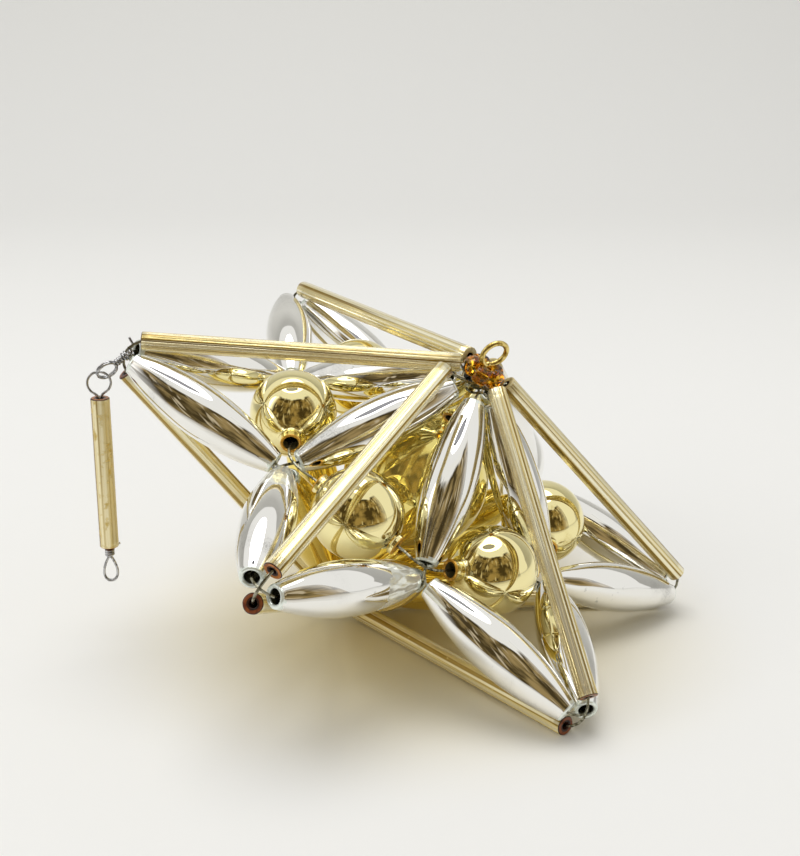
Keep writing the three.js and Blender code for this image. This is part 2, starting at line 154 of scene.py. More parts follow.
def carried(path, radius, sides):
    """A circle of the radius, square to the path at each point and twisted as little as it can be."""
    tangent = np.gradient(path, axis=0)
    tangent = tangent / np.linalg.norm(tangent, axis=1, keepdims=True)
    side = np.empty_like(path)
    side[0] = across(tangent[0])[0]
    for i in range(1, len(path)):
        side[i] = side[i - 1] - tangent[i] * (side[i - 1] @ tangent[i])
        side[i] = side[i] / np.linalg.norm(side[i])
    other = np.cross(tangent, side)
    angle = np.linspace(0, 2 * np.pi, sides, endpoint=False)[:, None]
    circle = side[:, None] * np.cos(angle) + other[:, None] * np.sin(angle)
    return path[:, None] + radius * circle


def grid_faces(rows, columns, closed_rows):
    """Four-sided faces of a grid that closes round its columns, and round its rows where asked."""
    row = np.arange(rows if closed_rows else rows - 1)[:, None]
    column = np.arange(columns)[None]
    after = (row + 1) % rows
    beside = (column + 1) % columns
    corners = [
        row * columns + column,
        row * columns + beside,
        after * columns + beside,
        after * columns + column,
    ]
    return np.stack(np.broadcast_arrays(*corners), axis=-1).reshape(-1, 4)


def flowing(points, steps):
    """A curve through all the points: a cubic on each span, with half the chord across a point as slope."""
    points = np.asarray(points, dtype=float)
    padded = np.concatenate([2 * points[:1] - points[1:2], points, 2 * points[-1:] - points[-2:-1]])
    before, start, end, after = padded[:-3], padded[1:-2], padded[2:-1], padded[3:]
    t = np.linspace(0, 1, steps, endpoint=False)[None, :, None]
    before, start, end, after = (part[:, None] for part in (before, start, end, after))
    curve = 0.5 * (2 * start + (end - before) * t + (2 * before - 5 * start + 4 * end - after) * t ** 2
                   + (3 * start - before - 3 * end + after) * t ** 3)
    return np.concatenate([curve.reshape(-1, 3), points[-1:]])


print("surfaces:", turned.__name__, "and", carried.__name__)

# %% [markdown]
# ## From a grid of points to a piece
# A piece has its place in its mesh, and its object stays at the origin, so that it moves with its body
# alone. A bead's mesh also keeps each point as it was before it was put in place. A finish that reads
# those points follows the bead, however the star lies.

# %% Pieces
SWELL_LEAN = 0.35
SECOND_LEAN = 0.6
SECOND_SWELL = 0.6


def add_piece(name, points, faces, local, finishes, body, nodes,
              face_slots=None, share=None):
    """A mesh piece that rides on a body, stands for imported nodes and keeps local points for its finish.
    The share, where it is given, goes from -1 at a bead's inner end to 1 at its outer end."""
    mesh = bpy.data.meshes.new(name)
    mesh.from_pydata((points * MM).tolist(), [], faces)
    mesh.polygons.foreach_set("use_smooth", np.ones(len(mesh.polygons), dtype=bool))
    kept = mesh.attributes.new("bead_point", "FLOAT_VECTOR", "POINT")
    kept.data.foreach_set("vector", np.asarray(local, dtype=np.float32).ravel())
    if share is not None:
        along = mesh.attributes.new("bead_along", "FLOAT", "POINT")
        along.data.foreach_set("value", np.asarray(share, dtype=np.float32).ravel())
    for material in finishes:
        mesh.materials.append(material)
    if face_slots is not None:
        mesh.polygons.foreach_set("material_index", np.asarray(face_slots, dtype=np.int32))
    mesh.validate()
    piece = bpy.data.objects.new(name, mesh)
    bpy.context.scene.collection.objects.link(piece)
    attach(piece, body)
    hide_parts(*nodes)


def add_turned(name, outline, sides, place, finishes, body, material_slot, face_slots, wobble, shift,
               flutes=0, flute_depth=0.0):
    """A turned bead on its axis. The wobble swells it by two slow waves, as blown glass is never round.
    Flutes are shallow hollows that run the whole length of a drawn tube."""
    centre, axis, _ = place
    local = turned(outline, sides)
    angle = np.arctan2(local[..., 1], local[..., 0])
    height = local[..., 2]
    slow = np.sin(2 * angle + SWELL_LEAN * height + shift)
    slow = slow + SECOND_SWELL * np.sin(3 * angle - SECOND_LEAN * height + 2 * shift)
    wave = slow + flute_depth * np.sin(flutes * angle + shift)
    local = local * np.stack([1 + wobble * wave, 1 + wobble * wave, np.ones_like(wave)], axis=-1)
    first, second = across(axis)
    flat = local.reshape(-1, 3)
    points = centre + flat @ np.stack([first, second, axis])
    faces = grid_faces(len(outline), sides, True).tolist()
    share = flat[:, 2] / np.abs(flat[:, 2]).max()
    add_piece(f"{name}_glass", points, faces, flat + shift, finishes, body, [name],
              face_slots, share)


def add_wires(name, paths, radius, sides, finish, body, material_slot, node):
    """Round wires along one or more paths, with closed ends, as one piece."""
    points = []
    faces = []
    count = 0
    ring = np.arange(sides)
    for path in paths:
        grid = carried(path, radius, sides)
        rows = len(grid)
        faces += (grid_faces(rows, sides, False) + count).tolist()
        faces.append((count + ring[::-1]).tolist())
        faces.append((count + (rows - 1) * sides + ring).tolist())
        points.append(grid.reshape(-1, 3))
        count += rows * sides
    points = np.concatenate(points)
    add_piece(name, points, faces, points, [finish], body, [node])


print("makers of pieces:", add_turned.__name__, "and", add_wires.__name__)

# %% [markdown]
# ## Placing nodes
# Each finish is a small net of nodes. Placed one by one they take many lines, so a few helpers place a
# node, fill its inputs and give back the one output that is needed.

# %% Node helpers
def set_socket(tree, socket, value):
    """Links the socket where another socket is given, and sets its own value otherwise."""
    if isinstance(value, bpy.types.NodeSocket):
        tree.links.new(value, socket)
    else:
        socket.default_value = value


def add_node(tree, kind, **inputs):
    """A node with its named inputs filled. Underscores stand for the spaces in a name."""
    made = tree.nodes.new(kind)
    for key, value in inputs.items():
        set_socket(tree, made.inputs[key.replace("_", " ")], value)
    return made


def combine(tree, kind, operation, first, second):
    """A Math or Vector Math node that works on two inputs."""
    made = tree.nodes.new(kind)
    made.operation = operation
    set_socket(tree, made.inputs[0], first)
    set_socket(tree, made.inputs[1], second)
    return made


def calculate(tree, operation, first, second):
    """One value worked out from two."""
    return combine(tree, "ShaderNodeMath", operation, first, second).outputs["Value"]


def stretched(tree, point, factors):
    """A point with each of its coordinates multiplied by a factor."""
    return combine(tree, "ShaderNodeVectorMath", "MULTIPLY", point, factors).outputs["Vector"]


def soft_noise(tree, point, scale, detail):
    """Noise between 0 and 1, with more fine parts the higher the detail."""
    return add_node(tree, "ShaderNodeTexNoise", Vector=point, Scale=scale, Detail=detail).outputs["Fac"]


def between(tree, value, low, high):
    """The value spread out so that low becomes 0 and high becomes 1, held inside."""
    return add_node(tree, "ShaderNodeMapRange", Value=value, From_Min=low, From_Max=high).outputs["Result"]


def blend_value(tree, mask, low, high):
    """A value that goes from low to high as the mask goes from 0 to 1."""
    return add_node(tree, "ShaderNodeMapRange", Value=mask, To_Min=low, To_Max=high).outputs["Result"]


print("node helpers:", add_node.__name__, calculate.__name__, stretched.__name__, soft_noise.__name__)

# %% [markdown]
# ## Shared effects of the finishes
# Drawn glass carries fine lines along its length, blown glass has slow waves, and old silvering goes
# dull in spots. More than one finish needs each of these, so each is a node group, built once. It reads
# a bead's own points, so that it follows the bead and not the room.

# %% Node groups
STREAK_STRETCH = (1, 1, 0.004)
STREAK_DETAIL = 3.0
STREAK_LIMITS = (0.36, 0.64)
WAVE_STRETCH = (1, 1, 0.35)
WAVE_DETAIL = 1.0
SPOT_DETAIL = 6.0
SPOT_EDGE = 0.12


def start_group(name, values):
    """An empty group with a point, some named values and one mask that it puts out."""
    tree = bpy.data.node_groups.new(name, "ShaderNodeTree")
    tree.interface.new_socket("Point", in_out="INPUT", socket_type="NodeSocketVector")
    for key in values:
        tree.interface.new_socket(key, in_out="INPUT", socket_type="NodeSocketFloat")
    tree.interface.new_socket("Mask", in_out="OUTPUT", socket_type="NodeSocketFloat")
    given = tree.nodes.new("NodeGroupInput").outputs
    return tree, given, tree.nodes.new("NodeGroupOutput").inputs["Mask"]


def make_streaks():
    """Fine lines along the bead: noise that changes fast across the bead and hardly at all along it."""
    tree, given, mask = start_group("drawn streaks", ["Fineness"])
    point = stretched(tree, given["Point"], STREAK_STRETCH)
    lines = soft_noise(tree, point, given["Fineness"], STREAK_DETAIL)
    tree.links.new(between(tree, lines, *STREAK_LIMITS), mask)
    return tree


def make_waves():
    """Slow swells of blown glass, longer along the bead than across it."""
    tree, given, mask = start_group("blown waves", ["Size"])
    point = stretched(tree, given["Point"], WAVE_STRETCH)
    tree.links.new(soft_noise(tree, point, given["Size"], WAVE_DETAIL), mask)
    return tree


def make_spots():
    """Dull spots in the coating where it has come away, rarer the lower the amount, with ragged edges."""
    tree, given, mask = start_group("dull spots", ["Size", "Amount"])
    ragged = soft_noise(tree, given["Point"], given["Size"], SPOT_DETAIL)
    edge = calculate(tree, "SUBTRACT", 1.0, given["Amount"])
    soft = calculate(tree, "ADD", edge, SPOT_EDGE)
    tree.links.new(between(tree, ragged, edge, soft), mask)
    return tree


STREAKS = make_streaks()
WAVES = make_waves()
SPOTS = make_spots()
print("node groups:", STREAKS.name, WAVES.name, SPOTS.name)

# %% [markdown]
# ## Starting a finish
# Every finish of the star is one Principled shader. A mask from a group blends its colour from clean to
# worn, and mostly its roughness too. A bump bends what glass mirrors. What is the same all over the
# surface is set on the shader itself.

# %% Material helpers
MIX_FIRST = 6
MIX_SECOND = 7
MIX_RESULT = 2


def start_material(name, packed=False):
    """A material with its Principled shader and the bead's own points, which are millimetres.
    A packed wire has no such points, so its finish reads the object's own coordinates instead."""
    material = bpy.data.materials.new(name)
    material.use_nodes = True
    tree = material.node_tree
    shader = tree.nodes["Principled BSDF"].inputs
    if packed:
        place = tree.nodes.new("ShaderNodeTexCoord").outputs["Object"]
        return material, tree, shader, stretched(tree, place, (1 / MM, 1 / MM, 1 / MM))
    point = tree.nodes.new("ShaderNodeAttribute")
    point.attribute_name = "bead_point"
    return material, tree, shader, point.outputs["Vector"]


def use_group(tree, group, **inputs):
    """A group placed in a material with its own values, giving its mask."""
    made = tree.nodes.new("ShaderNodeGroup")
    made.node_tree = group
    for key, value in inputs.items():
        set_socket(tree, made.inputs[key], value)
    return made.outputs["Mask"]


def blend_colour(tree, mask, first, second):
    """The first colour where the mask is 0 and the second where it is 1. A colour may be another blend."""
    mix = tree.nodes.new("ShaderNodeMix")
    mix.data_type = "RGBA"
    tree.links.new(mask, mix.inputs[0])
    for socket, colour in zip((mix.inputs[MIX_FIRST], mix.inputs[MIX_SECOND]), (first, second)):
        set_socket(tree, socket, colour if isinstance(colour, bpy.types.NodeSocket) else (*colour, 1))
    return mix.outputs[MIX_RESULT]


def set_wear(tree, shader, mask, clean, worn, roughness, rougher):
    """Colour and roughness that go from clean to worn as the mask goes from 0 to 1."""
    tree.links.new(blend_colour(tree, mask, clean, worn), shader["Base Color"])
    tree.links.new(blend_value(tree, mask, roughness, roughness + rougher), shader["Roughness"])


def set_bump(tree, shader, height, strength, distance):
    """A bump of the height on the shader's normal."""
    bump = add_node(tree, "ShaderNodeBump", Strength=strength, Distance=distance, Height=height)
    tree.links.new(bump.outputs["Normal"], shader["Normal"])


print("material helpers:", start_material.__name__, set_wear.__name__, set_bump.__name__)

# %% [markdown]
# ## Mirror coats
# Silver and gold here are mirrors behind thin glass. Clear glass over a coat would be truer but slow, so
# the coat is metal with very little roughness. Rare dull spots and a grainy cloud near the outer end are
# the wear of age. Mouths and bare ends are the same glass with less metal in it.

# %% Mirror finishes
WORN_SPOTS = {"Size": 0.55, "Amount": 0.31}
WORN_CLOUD = {"Size": 0.13, "Amount": 0.55}
WORN_GRAIN = {"Size": 4.0, "Amount": 0.52}
CLOUD_LIMITS = (0.2, 0.75)
GRAIN_LEVELS = (0.35, 0.9)
DULL_ROUGHER = 0.2
WAVE_DEPTH = 0.4 * MM
SPINDLE_WAVES = (0.3, 0.5)
BALL_WAVES = (0.2, 0.4)
MOUTH_WAVES = (0.8, 0.5)
BARE_WAVES = (0.7, 0.9)


def mirror_glass(name, bright, dull, waves, roughness=0.03, metallic=1.0):
    """A mirror coat seen through blown glass: bright metal with worn places and slow waves.
    The waves are given by their size and their strength."""
    material, tree, shader, point = start_material(name)
    rare = use_group(tree, SPOTS, Point=point, **WORN_SPOTS)
    cloud = use_group(tree, SPOTS, Point=point, **WORN_CLOUD)
    grain = use_group(tree, SPOTS, Point=point, **WORN_GRAIN)
    along = tree.nodes.new("ShaderNodeAttribute")
    along.attribute_name = "bead_along"
    near_end = between(tree, along.outputs["Fac"], *CLOUD_LIMITS)
    clouded = calculate(tree, "MULTIPLY", cloud, near_end)
    speckled = calculate(tree, "MULTIPLY", clouded, blend_value(tree, grain, *GRAIN_LEVELS))
    worn = calculate(tree, "MAXIMUM", rare, speckled)
    set_wear(tree, shader, worn, bright, dull, roughness, DULL_ROUGHER)
    shader["Metallic"].default_value = metallic
    size, strength = waves
    set_bump(tree, shader, use_group(tree, WAVES, Point=point, Size=size), strength, WAVE_DEPTH)
    return material


silver = mirror_glass("silvered glass", (0.92, 0.91, 0.87), (0.44, 0.43, 0.4), SPINDLE_WAVES)
gold_ball = mirror_glass("gilt ball glass", (0.97, 0.87, 0.46), (0.7, 0.56, 0.2), BALL_WAVES)
gold_heart = mirror_glass("gilt heart glass", (1.0, 0.84, 0.27), (0.84, 0.63, 0.12), BALL_WAVES,
                          roughness=0.05, metallic=0.82)
gold_petal = mirror_glass("gilt petal glass", (1.0, 0.8, 0.22), (0.76, 0.56, 0.1), SPINDLE_WAVES,
                          roughness=0.05, metallic=0.88)
clear_end = mirror_glass("clear bead end", (0.92, 0.93, 0.85), (0.74, 0.75, 0.66), BARE_WAVES,
                         roughness=0.14, metallic=0.6)
bead_mouth = mirror_glass("bead mouth glass", (0.88, 0.93, 0.86), (0.55, 0.6, 0.52), MOUTH_WAVES,
                          roughness=0.05, metallic=0.55)
ball_mouth = mirror_glass("ball mouth glass", (0.78, 0.42, 0.06), (0.5, 0.24, 0.03), MOUTH_WAVES,
                          roughness=0.08, metallic=0.5)
print("mirror finishes:", silver.name, gold_ball.name, gold_heart.name, gold_petal.name)

# %% [markdown]
# ## Gilt tube glass
# The tubes are gilt in the bore, and the drawn wall over it breaks the gold into fine lines. A few wider
# dark lines are painted reflection, the dark room as the glass would mirror it. Cutting each line into the
# mesh would take very many faces, so the lines are streaks in the colour and in a bump. Only six shallow
# flutes are shaped in the mesh, further below.

# %% Tube finishes
TUBE_SPOT_SIZE = 0.9
TUBE_ROUGHER = 0.15
# Painted reflection: the tint, fineness and limits of the dark lines that the room would make in a tube.
DARK_REFLECTION_TINT = (0.46, 0.38, 0.2)
DARK_REFLECTION_FINENESS = 0.6
DARK_REFLECTION_LIMITS = (0.7, 0.82)
STREAK_STRENGTH = 0.6
STREAK_DEPTH = 0.22 * MM


def gilt_tube(name, pale, deep, fineness, roughness, metallic, spot_amount=0.34):
    """Drawn tube with a gilt bore: pale metal with deeper lines along its length.
    A few wider dark lines are painted reflection of the dark room.
    """
    material, tree, shader, point = start_material(name)
    streaks = use_group(tree, STREAKS, Point=point, Fineness=fineness)
    # The wider streaks paint a few dark lines into the colour: painted reflection of the dark room.
    broad = use_group(tree, STREAKS, Point=point, Fineness=DARK_REFLECTION_FINENESS * fineness)
    spots = use_group(tree, SPOTS, Point=point, Size=TUBE_SPOT_SIZE, Amount=spot_amount)
    lines = blend_colour(tree, streaks, pale, deep)
    dark_reflection_mask = between(tree, broad, *DARK_REFLECTION_LIMITS)
    with_dark_reflection = blend_colour(tree, dark_reflection_mask, lines, tuple(np.multiply(deep, DARK_REFLECTION_TINT)))
    set_wear(tree, shader, spots, with_dark_reflection, deep, roughness, TUBE_ROUGHER)
    shader["Metallic"].default_value = metallic
    set_bump(tree, shader, streaks, STREAK_STRENGTH, STREAK_DEPTH)
    return material


pale_tube = gilt_tube("pale gilt tube", (1.0, 0.95, 0.72), (0.76, 0.6, 0.22),
                      fineness=2.2, roughness=0.05, metallic=0.75)
deep_tube = gilt_tube("deep gilt tube", (1.0, 0.95, 0.7), (0.9, 0.72, 0.26),
                      fineness=1.5, roughness=0.07, metallic=0.42)
drop_tube = gilt_tube("drop tube", (1.0, 0.91, 0.6), (0.62, 0.46, 0.14),
                      fineness=0.9, roughness=0.18, metallic=0.3, spot_amount=0.45)
print("tube finishes:", pale_tube.name, deep_tube.name, drop_tube.name)

# %% [markdown]
# ## Amber, cut ends and wire
# The seeds are clear amber glass, so light goes through them, and clouds deepen their colour. A snapped
# end is matt brown glass with the dye in blotches. The same matt glass, painted dark, is the painted shade
# inside beads and balls and in the tubes' bores. Wire is metal that has tarnished in small spots.

# %% Other finishes
AMBER_CLOUD = {"Size": 1.1, "Amount": 0.52}
AMBER_SHADE = 0.7
AMBER_WAVE_SIZE = 0.8
AMBER_WAVE_STRENGTH = 0.2
AMBER_WAVE_DEPTH = 0.2 * MM
GLASS_IOR = 1.5
TARNISH = {"Size": 1.6, "Amount": 0.5}
TARNISH_ROUGHER = 0.2
CUT_AND_SHADE_BLOTCHES = {"Size": 1.4, "Amount": 0.5}
CUT_ROUGHNESS = 0.3


def seed_glass(name, colour):
    """Clear coloured glass, deeper in its clouds."""
    material, tree, shader, point = start_material(name)
    cloud = use_group(tree, SPOTS, Point=point, **AMBER_CLOUD)
    deeper = tuple(AMBER_SHADE * value for value in colour)
    tree.links.new(blend_colour(tree, cloud, colour, deeper), shader["Base Color"])
    shader["Roughness"].default_value = 0.0
    shader["Transmission Weight"].default_value = 1.0
    shader["IOR"].default_value = GLASS_IOR
    waves = use_group(tree, WAVES, Point=point, Size=AMBER_WAVE_SIZE)
    set_bump(tree, shader, waves, AMBER_WAVE_STRENGTH, AMBER_WAVE_DEPTH)
    return material


def worn_metal(name, bright, tarnish, roughness, packed=False):
    """Drawn wire: bright metal with tarnish in small spots."""
    material, tree, shader, point = start_material(name, packed)
    spots = use_group(tree, SPOTS, Point=point, **TARNISH)
    set_wear(tree, shader, spots, bright, tarnish, roughness, TARNISH_ROUGHER)
    shader["Metallic"].default_value = 1
    return material


def matt_cut_and_shade(name, light, dark):
    """Uncoated matt glass with blotches: the dye of a cut end, and painted shade in hollows and bores."""
    material, tree, shader, point = start_material(name)
    spots = use_group(tree, SPOTS, Point=point, **CUT_AND_SHADE_BLOTCHES)
    tree.links.new(blend_colour(tree, spots, light, dark), shader["Base Color"])
    shader["Roughness"].default_value = CUT_ROUGHNESS
    return material


amber = seed_glass("amber seed glass", (0.9, 0.5, 0.035))
# Painted shade: the inner walls of balls and beads are painted dark for the shade in the hollow.
ball_inside_shade = matt_cut_and_shade("painted shade inside a ball", (0.2, 0.16, 0.07), (0.08, 0.06, 0.02))
bead_inside_shade = matt_cut_and_shade("painted shade inside a bead", (0.09, 0.08, 0.03), (0.03, 0.03, 0.015))
amber_cut = matt_cut_and_shade("amber cut end", (0.45, 0.15, 0.022), (0.28, 0.08, 0.012))
red_cut = matt_cut_and_shade("red-brown cut end", (0.24, 0.06, 0.01), (0.13, 0.026, 0.006))
# Painted shade: near-black for the tubes' gilt bores and their outer rims, where the hole lies in shade.
bore_and_rim_shade = matt_cut_and_shade("painted shade in rim and bore", (0.04, 0.012, 0.006), (0.015, 0.006, 0.004))
pale_cut = matt_cut_and_shade("pale cut end", (0.6, 0.5, 0.24), (0.34, 0.26, 0.1))
steel = worn_metal("steel wire", (0.56, 0.56, 0.57), (0.22, 0.22, 0.22), roughness=0.22)
brass = worn_metal("brass wire", (0.8, 0.62, 0.22), (0.45, 0.31, 0.07), roughness=0.14)
thread_steel = worn_metal("threading wire", (0.34, 0.33, 0.25), (0.1, 0.09, 0.05),
                          roughness=0.25, packed=True)
print("all materials:", len(bpy.data.materials))

# %% [markdown]
# ## Silvered oblongs
# Each spindle is blown thin and silvered inside, or gilt in the lower petals. The coat stops short of
# the two mouths, so a rim of clear glass shows there. On two beads at the front it has come away for a
# third. One closed outline gives both walls. The coat's edge could be painted, but a face that lies past
# a wavy limit simply takes another finish, and that keeps the edge sharp.

# %% Oblongs and petals
OBLONG_RADIUS = 4.1
OBLONG_END_RADIUS = 1.8
OBLONG_HOLE_RADIUS = 1.1
OBLONG_WALL = 0.5
END_THICKENING = 0.2
END_POWER = 8
OBLONG_SIDES = 56
OBLONG_ROWS = 72
OBLONG_WOBBLE = 0.004
OBLONG_SHIFT = 1.7
LIP_ROWS = 7
CLEAR_RIM = 0.7
INNER_RIM = 0.3
RIM_WAVE = 0.12
WORN_THIRD = 0.32
WORN_WAVE = 0.7
WORN_BEADS = {"oblong_2_left", "oblong_2_right"}
COAT = 0
MOUTH = 1
SHADED_INSIDE = 2
BARE = 3


def lip(outer, inner, height, toward):
    """Half a circle from the outer wall over the mouth to the inner wall, without its two ends."""
    angle = np.linspace(0, np.pi, LIP_ROWS + 2)[1:-1]
    centre = (outer + inner) / 2
    half = (outer - inner) / 2
    return np.stack([centre + half * np.cos(angle), height + toward * half * np.sin(angle)], axis=1)


def oblong_outline(length):
    """Outer wall, mouth, inner wall and mouth again. The radius falls with the square of the height."""
    lip_half = (OBLONG_END_RADIUS - OBLONG_HOLE_RADIUS) / 2
    reach = length / 2 - lip_half
    height = np.linspace(-reach, reach, OBLONG_ROWS)
    outer = OBLONG_END_RADIUS + (OBLONG_RADIUS - OBLONG_END_RADIUS) * (1 - (height / reach) ** 2)
    inner = outer - OBLONG_WALL - END_THICKENING * (height / reach) ** END_POWER
    inner = np.maximum(OBLONG_HOLE_RADIUS, inner)
    outer_wall = np.stack([outer, height], axis=1)
    inner_wall = np.stack([inner, height], axis=1)[::-1]
    top = lip(OBLONG_END_RADIUS, OBLONG_HOLE_RADIUS, reach, 1)
    bottom = lip(OBLONG_END_RADIUS, OBLONG_HOLE_RADIUS, -reach, -1)[::-1]
    return np.concatenate([outer_wall, top, inner_wall, bottom])


def coat_faces(outline, length, shift, worn):
    """The finish of each face: coat, mouth past the coat's wavy edge, painted shade inside, and bare in a
    worn third.
    The coat ends at half the length, less a rim that varies with the angle by a sum of three sines."""
    angle = np.linspace(0, 2 * np.pi, OBLONG_SIDES, endpoint=False)[None]
    height = outline[:, 1, None]
    wave = np.sin(2 * angle + shift) + 0.6 * np.sin(5 * angle + 3 * shift)
    wave = wave + 0.3 * np.sin(11 * angle + 2 * shift)
    from_end = length / 2 - np.abs(height)
    rim = np.where(height > 0, CLEAR_RIM, INNER_RIM)
    kinds = np.where(from_end < rim + RIM_WAVE * wave, MOUTH, COAT)
    row = np.arange(len(outline))[:, None]
    inner_rows = (row >= OBLONG_ROWS + LIP_ROWS) & (row < len(outline) - LIP_ROWS - 1)
    kinds = np.where(inner_rows, SHADED_INSIDE, kinds)
    if worn:
        kinds = np.where(height < WORN_THIRD * length + WORN_WAVE * wave - length / 2, BARE, kinds)
    return kinds.ravel()


def add_oblong(name, count):
    """One coated bead, with its coat's edge and waves shifted by its count so that no two are alike."""
    place = bead_place(name)
    outline = oblong_outline(place[2])
    shift = OBLONG_SHIFT * count
    faces = coat_faces(outline, place[2], shift, name in WORN_BEADS)
    gilt = name.startswith("petal_bottom")
    # The third finish is painted shade on the inner wall.
    finishes = [gold_petal if gilt else silver, bead_mouth, bead_inside_shade, clear_end]
    material_slot = "gilt_oblong_glass" if gilt else "silvered_glass"
    add_turned(name, outline, OBLONG_SIDES, place, finishes, "star", material_slot, faces,
               OBLONG_WOBBLE, shift)


oblong_names = [f"oblong_{arm}_{hand}" for arm in ARMS for hand in ("left", "right")]
oblong_names += [f"petal_{side}_{arm}" for side in ("top", "bottom") for arm in ARMS]
for count, name in enumerate(oblong_names):
    add_oblong(name, count)
print("oblongs:", len(oblong_names))

# %% [markdown]
# ## Gilt tubes
# The tubes are cut from drawn glass. Their ends are snapped, not polished, so the brown of the dyed wall
# shows on them, between an outer rim and the bore, both painted near-black as painted shade. A plain
# cylinder would be too round: six shallow flutes catch the light as the drawn wall does. The ends have
# their own rows, so that each can take its own finish.

# %% Tubes
TUBE_RADIUS = 1.5
TUBE_BORE_RADIUS = 0.625
TUBE_EDGE = 0.12
TUBE_SIDES = 84
TUBE_ROWS = 24
CUT_ROWS = 4
BORE_ROWS = 6
FLUTES = 6
FLUTE_DEPTH = 2.0
TUBE_WOBBLE = 0.004
TOP_TUBE_SHIFT = 2.3
BOTTOM_TUBE_SHIFT = 3.1
DROP_TUBE_SHIFT = 0.7
GILT_SIDE = 0
OUTER_CUT = 1
SHADE_RIM_AND_BORE = 2
INNER_CUT = 3


def tube_outline(length):
    """Side, chamfered edge, cut face, bore and back again, as one closed outline."""
    reach = length / 2
    height = np.linspace(TUBE_EDGE - reach, reach - TUBE_EDGE, TUBE_ROWS)
    side = np.stack([np.full(TUBE_ROWS, TUBE_RADIUS), height], axis=1)
    face = np.linspace(TUBE_RADIUS - TUBE_EDGE, TUBE_BORE_RADIUS + TUBE_EDGE / 2, CUT_ROWS)
    top = np.stack([face, np.full(CUT_ROWS, reach)], axis=1)
    bore_height = np.linspace(reach - TUBE_EDGE / 2, TUBE_EDGE / 2 - reach, BORE_ROWS)
    bore = np.stack([np.full(BORE_ROWS, TUBE_BORE_RADIUS), bore_height], axis=1)
    bottom = np.stack([face[::-1], np.full(CUT_ROWS, -reach)], axis=1)
    return np.concatenate([side, top, bore, bottom])


def add_tube(name, finish, cut, body, shift):
    """One gilt tube. Its outer end is dyed brown between a rim and a bore that are painted near-black as
    painted shade. A star's tube has a pale inner end."""
    place = bead_place(name)
    outline = tube_outline(place[2])
    # Rows not set below take painted shade: the outer chamfer, the last ring of the cut face and the bore.
    row_slots = np.full(len(outline), SHADE_RIM_AND_BORE)
    row_slots[:TUBE_ROWS - 1] = GILT_SIDE
    row_slots[TUBE_ROWS:TUBE_ROWS + CUT_ROWS - 2] = OUTER_CUT
    row_slots[-CUT_ROWS - 1:] = INNER_CUT
    faces = np.repeat(row_slots, TUBE_SIDES)
    finishes = [finish, cut, bore_and_rim_shade, pale_cut if body == "star" else cut]
    add_turned(name, outline, TUBE_SIDES, place, finishes, body, "gilt_tube_glass", faces,
               TUBE_WOBBLE, shift, FLUTES, FLUTE_DEPTH)


for arm in ARMS:
    add_tube(f"tube_top_{arm}", pale_tube, amber_cut, "star", TOP_TUBE_SHIFT * arm)
    add_tube(f"tube_bottom_{arm}", deep_tube, red_cut, "star", BOTTOM_TUBE_SHIFT * arm)
add_tube("pendant_tube", drop_tube, amber_cut, "pendant_glass", DROP_TUBE_SHIFT)
print("tubes:", 2 * len(ARMS), "and the drop")

# %% [markdown]
# ## Gilt balls
# A ball is blown with a neck at each side, where the wire goes through. A sphere joined to a cylinder
# would leave a crease, so one outline runs smoothly from the ball into the neck. A larger ball fills the
# star's heart, on the brass pin, and shows gold through the gaps.

# %% Balls
BALL_RADIUS = 7.0
CORE_RADIUS = 12.0
BALL_WALL = 0.5
NECK_RADIUS = 1.7
NECK_BLEND = 2.0
SHORT_NECK = 0.6
FREE_NECKS = {"ball_1", "ball_3"}
BALL_SIDES = 72
BALL_ROWS = 60
BALL_WOBBLE = 0.003
BALL_SHIFT = 1.9
CORE_SHIFT = 0.8


def ball_wall(radius, neck, reach):
    """A soft maximum of a circle's width and the neck's, scaled to the circle's radius at the middle."""
    height = reach * np.sin(np.linspace(-np.pi / 2, np.pi / 2, BALL_ROWS))
    circle = np.sqrt(np.maximum(radius ** 2 - height ** 2, 0))
    width = (circle ** NECK_BLEND + neck ** NECK_BLEND) ** (1 / NECK_BLEND)
    return np.stack([width * radius / width.max(), height], axis=1)


def add_ball(name, place, radius, finish, shift):
    """One gilt ball with both walls and rounded amber mouths. Two balls' necks stand free of other beads
    and have their full length. The others are short."""
    reach = (place[2] - BALL_WALL) / 2 if name in FREE_NECKS else radius + SHORT_NECK
    inner_neck = NECK_RADIUS - BALL_WALL
    outer = ball_wall(radius, NECK_RADIUS, reach)
    inner = ball_wall(radius - BALL_WALL, inner_neck, reach)[::-1]
    top = lip(NECK_RADIUS, inner_neck, reach, 1)
    bottom = lip(NECK_RADIUS, inner_neck, -reach, -1)[::-1]
    outline = np.concatenate([outer, top, inner, bottom])
    row_slots = np.full(len(outline), MOUTH)
    row_slots[:BALL_ROWS - 1] = COAT
    row_slots[BALL_ROWS + LIP_ROWS:2 * BALL_ROWS + LIP_ROWS - 1] = SHADED_INSIDE
    faces = np.repeat(row_slots, BALL_SIDES)
    # The third finish is painted shade on the inner wall.
    finishes = [finish, ball_mouth, ball_inside_shade]
    add_turned(name, outline, BALL_SIDES, place, finishes, "star", "gilt_ball_glass", faces,
               BALL_WOBBLE, shift)


for arm in ARMS:
    add_ball(f"ball_{arm}", bead_place(f"ball_{arm}"), BALL_RADIUS, gold_ball, BALL_SHIFT * arm)
core_points = node_points("core_ball")
core_centre = middle(core_points)
core_place = (core_centre, STAR_AXIS, float(np.ptp(core_points @ STAR_AXIS)))
add_ball("core_ball", core_place, CORE_RADIUS, gold_heart, CORE_SHIFT)
print("balls:", len(ARMS), "and the heart, at", core_centre.round(1))

